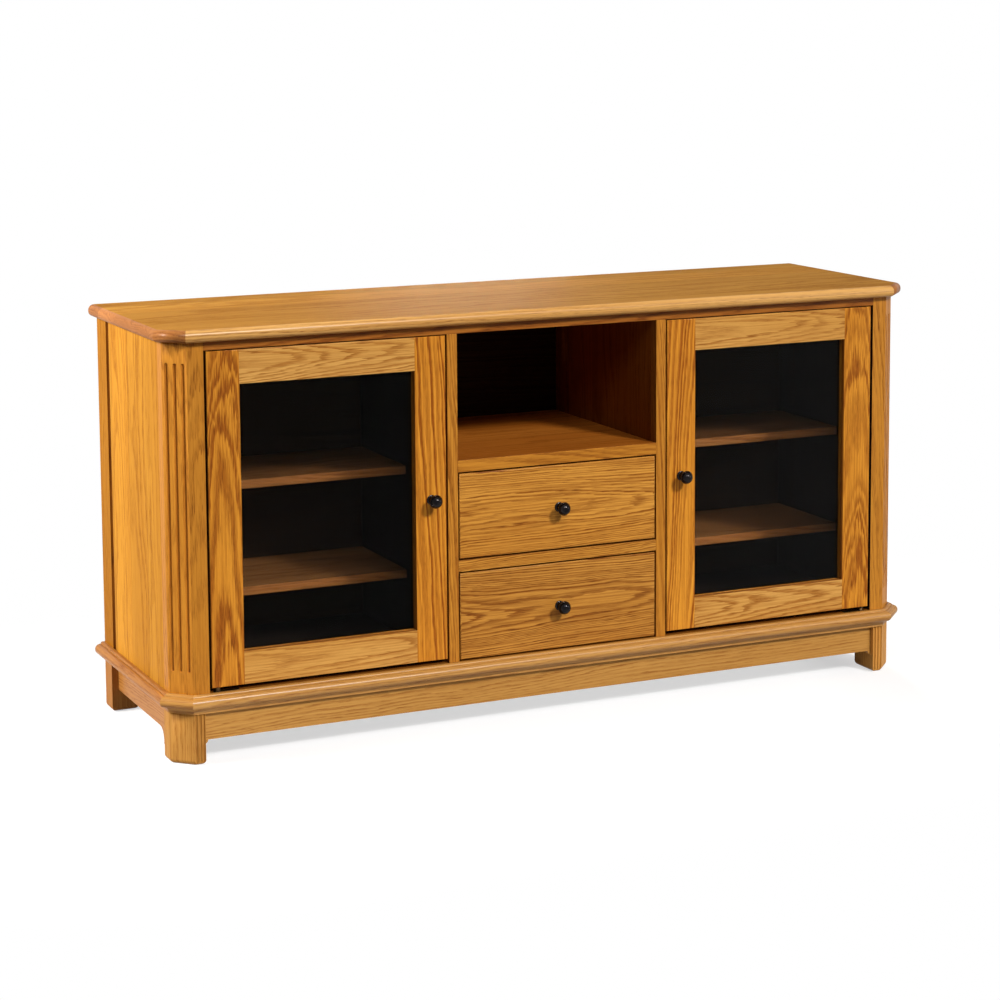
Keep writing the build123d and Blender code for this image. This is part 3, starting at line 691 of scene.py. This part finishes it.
# the rear feet, side aprons and side base mouldings get the painted-shade tint
layBoards("rear_feet", up, south, hearts["rearFoot"], footOak, tints["lowSideShade"], 0)
layBoards("front_apron", east, south, hearts["base"], baseOak)
layBoards("side_aprons", north, west, hearts["base"], baseOak, tints["lowSideShade"])
# the front base moulding gets the painted highlight
layBoards("front_base_moulding", east, south, hearts["base"], mouldingHighlightOak, ease=0)
layBoards("corner_base_mouldings", [east + south, east + north], south, hearts["base"], baseOak,
          tints["corner"], 0)
layBoards("side_base_mouldings", north, west, hearts["base"], baseOak, tints["lowSideShade"], 0)
# the back panel gets the near-black painted shade
layBoards("back_panel", east, north, hearts["back"], ease=0)
for drawer in ("upper", "lower"):
    fronts = layBoards(f"{drawer}_drawer_front", east, south, hearts["drawerFront"], drawerOak,
                       tints[drawer], doorEase)
    # the drawer fronts' edge faces get painted shade for the gaps round them
    refinish(fronts, edgeShadeOak, besideFront)
    layBoards(f"{drawer}_drawer_sides", north, west, hearts["drawerBox"])
    layBoards(f"{drawer}_drawer_ends", east, south, hearts["drawerBox"])
    layBoards(f"{drawer}_drawer_floor", east, up, hearts["drawerBox"])
print("boards laid:", trunk["count"])


# turned and stamped metal

def axisPlace(point, direction):
    place = Vector(direction).to_track_quat("Z", "Y").to_matrix().to_4x4()
    place.translation = point
    return place


def smoothLine(points, steps):
    ends = [points[0]] + list(points) + [points[-1]]
    line = []
    for first, start, finish, last in zip(ends, ends[1:], ends[2:], ends[3:]):
        for step in range(steps):
            t = step / steps
            weights = (-0.5 * t + t * t - 0.5 * t ** 3, 1 - 2.5 * t * t + 1.5 * t ** 3,
                       0.5 * t + 2 * t * t - 1.5 * t ** 3, -0.5 * t * t + 0.5 * t ** 3)
            around = list(zip(weights, (first, start, finish, last)))
            line.append(tuple(sum(weight * point[axis] for weight, point in around)
                              for axis in range(2)))
    return line + [points[-1]]


thinnest = 0.0001 * mm


def turned(profile, segments):
    solid = bmesh.new()
    rings = []
    for radius, height in profile:
        if radius < thinnest:
            rings.append([solid.verts.new((0, 0, height))])
        else:
            angles = [2 * math.pi * number / segments for number in range(segments)]
            rings.append([solid.verts.new((radius * math.cos(angle), radius * math.sin(angle), height))
                          for angle in angles])
    for lower, upper in zip(rings, rings[1:]):
        for number in range(segments):
            following = (number + 1) % segments
            corners = [lower[number % len(lower)], lower[following % len(lower)],
                       upper[following % len(upper)], upper[number % len(upper)]]
            solid.faces.new(list(dict.fromkeys(corners)))
    bmesh.ops.recalc_face_normals(solid, faces=solid.faces)
    return solid


# profiles are pairs of radius and height, in mm
knob = {
    "segments": 48,
    "steps": 5,
    "foot": [(0.0, 0.0), (8.5, 0.0), (9.0, 0.5), (9.0, 1.6), (8.5, 2.1), (7.8, 2.3)],
    "neck": [(7.8, 2.3), (6.6, 3.6), (5.5, 6.6), (5.0, 10.0), (5.1, 13.0), (6.6, 16.0), (9.8, 18.8)],
    "rim": [(9.8, 18.8), (10.4, 19.0), (11.8, 20.2), (12.5, 22.0), (12.4, 23.2), (11.9, 24.0),
            (11.6, 24.2)],
    "dome": [(11.6, 24.2), (11.2, 25.4), (9.6, 28.4), (7.0, 31.0), (3.6, 32.6), (0.0, 33.0)],
}


def turnKnob(node):
    line = list(knob["foot"])
    for part in ("neck", "rim", "dome"):
        line += smoothLine(knob[part], knob["steps"])[1:]
    solid = turned([(radius * mm, height * mm) for radius, height in line], knob["segments"])
    low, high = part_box(node)
    foot = Vector(((low[0] + high[0]) / 2, high[1], (low[2] + high[2]) / 2))
    solid.transform(axisPlace(foot, south))
    piece = addPiece(node + "_turned", solid, bronze, bodyOf[node])
    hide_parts(node)
    return foot


# cross-head screws: a domed or flush head with a tapered cross cut in it
screwHeads = {
    "pan": [(0.0, 0.0), (3.5, 0.0), (3.5, 0.5), (3.2, 1.2), (2.4, 1.75), (1.2, 2.0), (0.0, 2.0)],
    "flush": [(0.0, -1.2), (1.5, -1.2), (2.5, -0.2), (2.5, 0.05), (2.2, 0.15), (0.0, 0.15)],
    "washer": [(0.0, 0.0), (5.0, 0.0), (5.0, 0.8), (4.6, 1.0), (3.6, 1.0), (3.5, 1.6), (2.8, 2.4),
               (1.4, 2.8), (0.0, 2.8)],
}
screw = {
    "segments": 20,
    "widest": 3.5 * mm,
    "cross": 0.62,
    "slot": 0.17,
    "depth": 0.6,
    "taper": 0.55,
    "turn": 0.7,
}


def makeScrew(kind):
    profile = [(radius * mm, height * mm) for radius, height in screwHeads[kind]]
    top = profile[-1][1]
    reach = min(max(radius for radius, height in profile), screw["widest"]) * screw["cross"]
    head = turned(profile, screw["segments"])
    cutter = bmesh.new()
    for wide, narrow in ((reach, reach * screw["slot"]), (reach * screw["slot"], reach)):
        bar = bmesh.ops.create_cube(cutter, size=2)["verts"]
        for vert in bar:
            taper = 1.0 if vert.co.z > 0 else screw["taper"]
            vert.co = Vector((vert.co.x * wide * taper, vert.co.y * narrow * taper,
                              top + vert.co.z * screw["depth"] * reach))
    things = []
    for name, solid in (("screwHead", head), ("screwCut", cutter)):
        mesh = bpy.data.meshes.new(name)
        solid.to_mesh(mesh)
        solid.free()
        things.append(bpy.data.objects.new(name, mesh))
        scene.collection.objects.link(things[-1])
    cut = things[0].modifiers.new("cross", "BOOLEAN")
    cut.operation = "DIFFERENCE"
    cut.use_self = True
    cut.object = things[1]
    graph = bpy.context.evaluated_depsgraph_get()
    mesh = bpy.data.meshes.new_from_object(things[0].evaluated_get(graph))
    for thing in things:
        spare = thing.data
        bpy.data.objects.remove(thing)
        bpy.data.meshes.remove(spare)
    return mesh


screwMeshes = {kind: makeScrew(kind) for kind in screwHeads}


def drive(name, kind, places, direction, body, slot="zinc_steel", metal=None):
    heads = bmesh.new()
    for number, point in enumerate(places):
        mesh = screwMeshes[kind].copy()
        spin = Matrix.Rotation(screw["turn"] * (number + 1), 4, "Z")
        mesh.transform(axisPlace(Vector(point), direction) @ spin)
        heads.from_mesh(mesh)
        bpy.data.meshes.remove(mesh)
    return addPiece(name, heads, metal or finishOf[slot], body)


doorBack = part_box("left_door_knob_stile")[1][1]
for side in ("left", "right"):
    foot = turnKnob(f"{side}_door_knob")
    drive(f"{side}_door_knob_screw", "washer", [(foot.x, doorBack, foot.z)], north, f"{side}_door")
for drawer in ("upper", "lower"):
    foot = turnKnob(f"{drawer}_drawer_knob")
    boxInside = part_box(f"{drawer}_drawer_floor")[0][1]
    drive(f"{drawer}_drawer_knob_screw", "washer", [(foot.x, boxInside, foot.z)], north,
          f"{drawer}_drawer")

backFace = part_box("back_panel")[1][1]
backScrews = solidsOf("back_panel_screws")
places = [(centreOf(solid).x, backFace, centreOf(solid).z) for solid in backScrews]
piece = drive("back_panel_screws_heads", "pan", places, north, "cabinet")
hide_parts("back_panel_screws")


# hinges, strikes, catches, pegs and slides keep their solids, with stamped edges and screws

stamping = {
    "edge": 0.35 * mm,
    "shortest": 1.2 * mm,
    "pegEdge": 0.8 * mm,
    "pegSegments": 3,
    "leafScrews": (15 * mm, 33 * mm),
}


def stamp(node, width=stamping["edge"], segments=easing["segments"], metal=None):
    solids = solidsOf(node)
    for solid in solids:
        easeEdges(solid, width, stamping["shortest"], segments)
    piece = addPiece(node + "_stamped", gather(solids), metal or finishOf[slotOf[node]], bodyOf[node])
    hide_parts(node)


for node in slotOf:
    if "slide" in node:
        stamp(node)
    elif "hinge" in node and "leaves" in node:
        stamp(node, metal=agedBronze)
stamp("shelf_pegs", stamping["pegEdge"], stamping["pegSegments"])

caseLeaves = [boxOf(solid) for solid in solidsOf("hinge_case_leaves")]
opening = (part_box("bottom_rail")[1][2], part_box("top_rail")[0][2])
for level, direction, word in ((opening[0], up, "lower"), (opening[1], down, "upper")):
    places = []
    for low, high in caseLeaves:
        if low.z - mm < level < high.z + mm:
            sign = 1 if low.x > 0 else -1
            end = min(abs(low.x), abs(high.x))
            middle = (low.y + high.y) / 2
            places += [(sign * (end + step), middle, level) for step in stamping["leafScrews"]]
    drive(f"{word}_hinge_screws", "flush", places, direction, "cabinet", "bronze", metal=agedBronze)

strike = {
    "corner": 2.2 * mm,
    "segments": 5,
    "edge": 0.2 * mm,
    "shortest": 0.1 * mm,
    "screws": (-7 * mm, 7 * mm),
}


def runsThrough(edge):
    return abs((edge.verts[0].co - edge.verts[1].co).normalized().y) > facing["square"]


for side in ("left", "right"):
    node = f"{side}_door_strike"
    plate = solidsOf(node)[0]
    mergeFlats(plate)
    corners = [edge for edge in plate.edges if runsThrough(edge)]
    bmesh.ops.bevel(plate, geom=corners, offset=strike["corner"], segments=strike["segments"],
                    profile=easing["profile"], affect="EDGES")
    easeEdges(plate, strike["edge"], strike["shortest"])
    middle = centreOf(plate)
    face = boxOf(plate)[1].y
    piece = addPiece(node + "_plate", plate, zincSteel, bodyOf[node])
    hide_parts(node)
    places = [(middle.x, face, middle.z + step) for step in strike["screws"]]
    drive(f"{side}_door_strike_screws", "flush", places, north, bodyOf[node])


# magnetic catches: a moulded case, two pole plates in its mouth and a screw through its side
catch = {"edge": 1.1 * mm, "segments": 3, "screwBehindMiddle": 3 * mm}
pole = {
    "length": 25 * mm,
    "thickness": 1.2 * mm,
    "depth": 8 * mm,
    "apart": 6 * mm,
    "proud": 0.3 * mm,
    "edge": 0.25 * mm,
    "shortest": 0.5 * mm,
}


def makeCatches():
    solids = solidsOf("door_catches")
    boxes = [boxOf(solid) for solid in solids]
    for solid in solids:
        easeEdges(solid, catch["edge"], segments=catch["segments"])
    piece = addPiece("door_catches_cases", gather(solids), catchPlastic, "cabinet")
    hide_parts("door_catches")
    plates = []
    for low, high in boxes:
        middle = (low + high) / 2
        for step in (-pole["apart"] / 2, pole["apart"] / 2):
            plate = bmesh.new()
            bmesh.ops.create_cube(plate, size=1)
            size = (pole["thickness"], pole["depth"], pole["length"])
            bmesh.ops.scale(plate, vec=size, verts=plate.verts)
            centre = (middle.x + step, low.y + pole["depth"] / 2 - pole["proud"], middle.z)
            bmesh.ops.translate(plate, vec=centre, verts=plate.verts)
            easeEdges(plate, pole["edge"], pole["shortest"])
            plates.append(plate)
    addPiece("door_catches_poles", gather(plates), zincSteel, "cabinet")
    for (low, high), word, direction in zip(boxes, ("left", "right"), (west, east)):
        x = low.x if word == "left" else high.x
        place = (x, (low.y + high.y) / 2 + catch["screwBehindMiddle"], (low.z + high.z) / 2)
        drive(f"{word}_catch_screw", "pan", [place], direction, "cabinet")


makeCatches()
print("metalwork dressed")

for node, thing in frame["nodes"].items():
    if not thing.hide_render:
        thing.data.materials.clear()
        thing.data.materials.append(finishOf[slotOf[node]])


# studio: pale floor that fades into the white round it, soft lamps, and the photograph's camera

floor = {
    "radius": 4.2,
    "segments": 96,
    "half": (0.76, 0.23, 10.0),  # the fade is measured from this box
    "fade": (0.10, 0.75),
    "colour": (0.50, 0.50, 0.50, 1),
    "glow": 0.56,
    "roughness": 0.9,
    "gloss": 0.1,
}


def seenRay(tree):
    rays = addNode(tree, "LightPath").outputs
    seen = calc(tree, "MAXIMUM", rays["Is Camera Ray"], rays["Is Glossy Ray"])
    return calc(tree, "MAXIMUM", seen, rays["Is Transmission Ray"])


def makeFloor():
    disc = bmesh.new()
    bmesh.ops.create_circle(disc, cap_ends=True, segments=floor["segments"], radius=floor["radius"])
    mesh = bpy.data.meshes.new("floor")
    disc.to_mesh(mesh)
    disc.free()
    thing = bpy.data.objects.new("floor", mesh)
    scene.collection.objects.link(thing)
    material, tree, shader = newMaterial(
        "paleFloor", Base_Color=floor["colour"], Roughness=floor["roughness"],
        Specular_IOR_Level=floor["gloss"], Emission_Color=(1, 1, 1, 1))
    glow = calc(tree, "MULTIPLY", seenRay(tree), floor["glow"])
    tree.links.new(glow, shader.inputs["Emission Strength"])
    place = addNode(tree, "TexCoord").outputs["Object"]
    size = addNode(tree, "VectorMath", {0: place}, operation="ABSOLUTE").outputs[0]
    beyond = addNode(tree, "VectorMath", {0: size, 1: floor["half"]}, operation="SUBTRACT").outputs[0]
    beyond = addNode(tree, "VectorMath", {0: beyond, 1: (0, 0, 0)}, operation="MAXIMUM").outputs[0]
    reach = addNode(tree, "VectorMath", {0: beyond}, operation="LENGTH").outputs["Value"]
    fade = spread(tree, reach, *floor["fade"])
    clear = addNode(tree, "BsdfTransparent")
    mix = addNode(tree, "MixShader", {0: fade, 1: shader.outputs[0], 2: clear.outputs[0]})
    tree.links.new(mix.outputs[0], tree.nodes["Material Output"].inputs["Surface"])
    mesh.materials.append(material)


def makeWorld(level):
    world = bpy.data.worlds.new("studio")
    scene.world = world
    world.use_nodes = True
    tree = world.node_tree
    inputs = {"Value": seenRay(tree), "To Min": level, "To Max": 1.0}
    strength = addNode(tree, "MapRange", inputs).outputs["Result"]
    tree.links.new(strength, tree.nodes["Background"].inputs["Strength"])
    tree.nodes["Background"].inputs["Color"].default_value = (1, 1, 1, 1)


def addLamp(name, place, target, size, power):
    light = bpy.data.lights.new(name, "AREA")
    light.shape = "DISK"
    light.size = size
    light.energy = power
    lamp = bpy.data.objects.new(name, light)
    scene.collection.objects.link(lamp)
    lamp.location = place
    lamp.rotation_euler = (Vector(target) - Vector(place)).to_track_quat("-Z", "Y").to_euler()


def addSun(name, toward, angle, strength):
    light = bpy.data.lights.new(name, "SUN")
    light.angle = math.radians(angle)
    light.energy = strength
    lamp = bpy.data.objects.new(name, light)
    scene.collection.objects.link(lamp)
    lamp.location = toward
    lamp.rotation_euler = (-Vector(toward)).to_track_quat("-Z", "Y").to_euler()


view = {
    "place": (-2.0428, -4.3638, 1.3493),
    "azimuth": -24.83,
    "elevation": 6.98,
    "roll": -0.35,
    "lens": 91.9,
    "sensor": 36.0,
    "shiftY": -0.2,
}


def aimCamera():
    azimuth, elevation, roll = (math.radians(view[key]) for key in ("azimuth", "elevation", "roll"))
    level = math.cos(elevation)
    back = Vector((math.sin(azimuth) * level, -math.cos(azimuth) * level, math.sin(elevation)))
    right = up.cross(back).normalized()
    upward = back.cross(right)
    tiltedRight = right * math.cos(roll) + upward * math.sin(roll)
    tiltedUp = upward * math.cos(roll) - right * math.sin(roll)
    camera = bpy.data.objects.new("camera", bpy.data.cameras.new("camera"))
    scene.collection.objects.link(camera)
    place = Matrix((tiltedRight, tiltedUp, back)).transposed().to_4x4()
    place.translation = Vector(view["place"])
    camera.matrix_world = place
    camera.data.lens = view["lens"]
    camera.data.sensor_width = view["sensor"]
    camera.data.shift_y = view["shiftY"]
    scene.camera = camera


ambient = 0.04
sun = {"toward": (0.263, -0.765, 0.588), "angle": 9, "strength": 2.55}
lamps = {
    "frontLamp": {"place": (-0.6, -3.2, 3.0), "target": (0.0, -0.2, 0.4), "size": 1.4, "power": 46},
    "sideLamp": {"place": (-2.8, 0.45, 1.6), "target": (-0.7, 0.0, 0.4), "size": 1.0, "power": 112},
    "fillLamp": {"place": (2.4, -2.2, 1.1), "target": (0.6, -0.2, 0.4), "size": 1.2, "power": 15},
    "overheadLamp": {"place": (0.0, -0.2, 2.9), "target": (0.0, 0.0, 0.7), "size": 2.0, "power": 4},
    "backLamp": {"place": (1.4, 3.4, 0.66), "target": (0.0, 0.2, 0.4), "size": 0.9, "power": 75},
}
makeFloor()
makeWorld(ambient)
addSun("keyLamp", **sun)
for name, lamp in lamps.items():
    addLamp(name, **lamp)
aimCamera()
print("studio set")
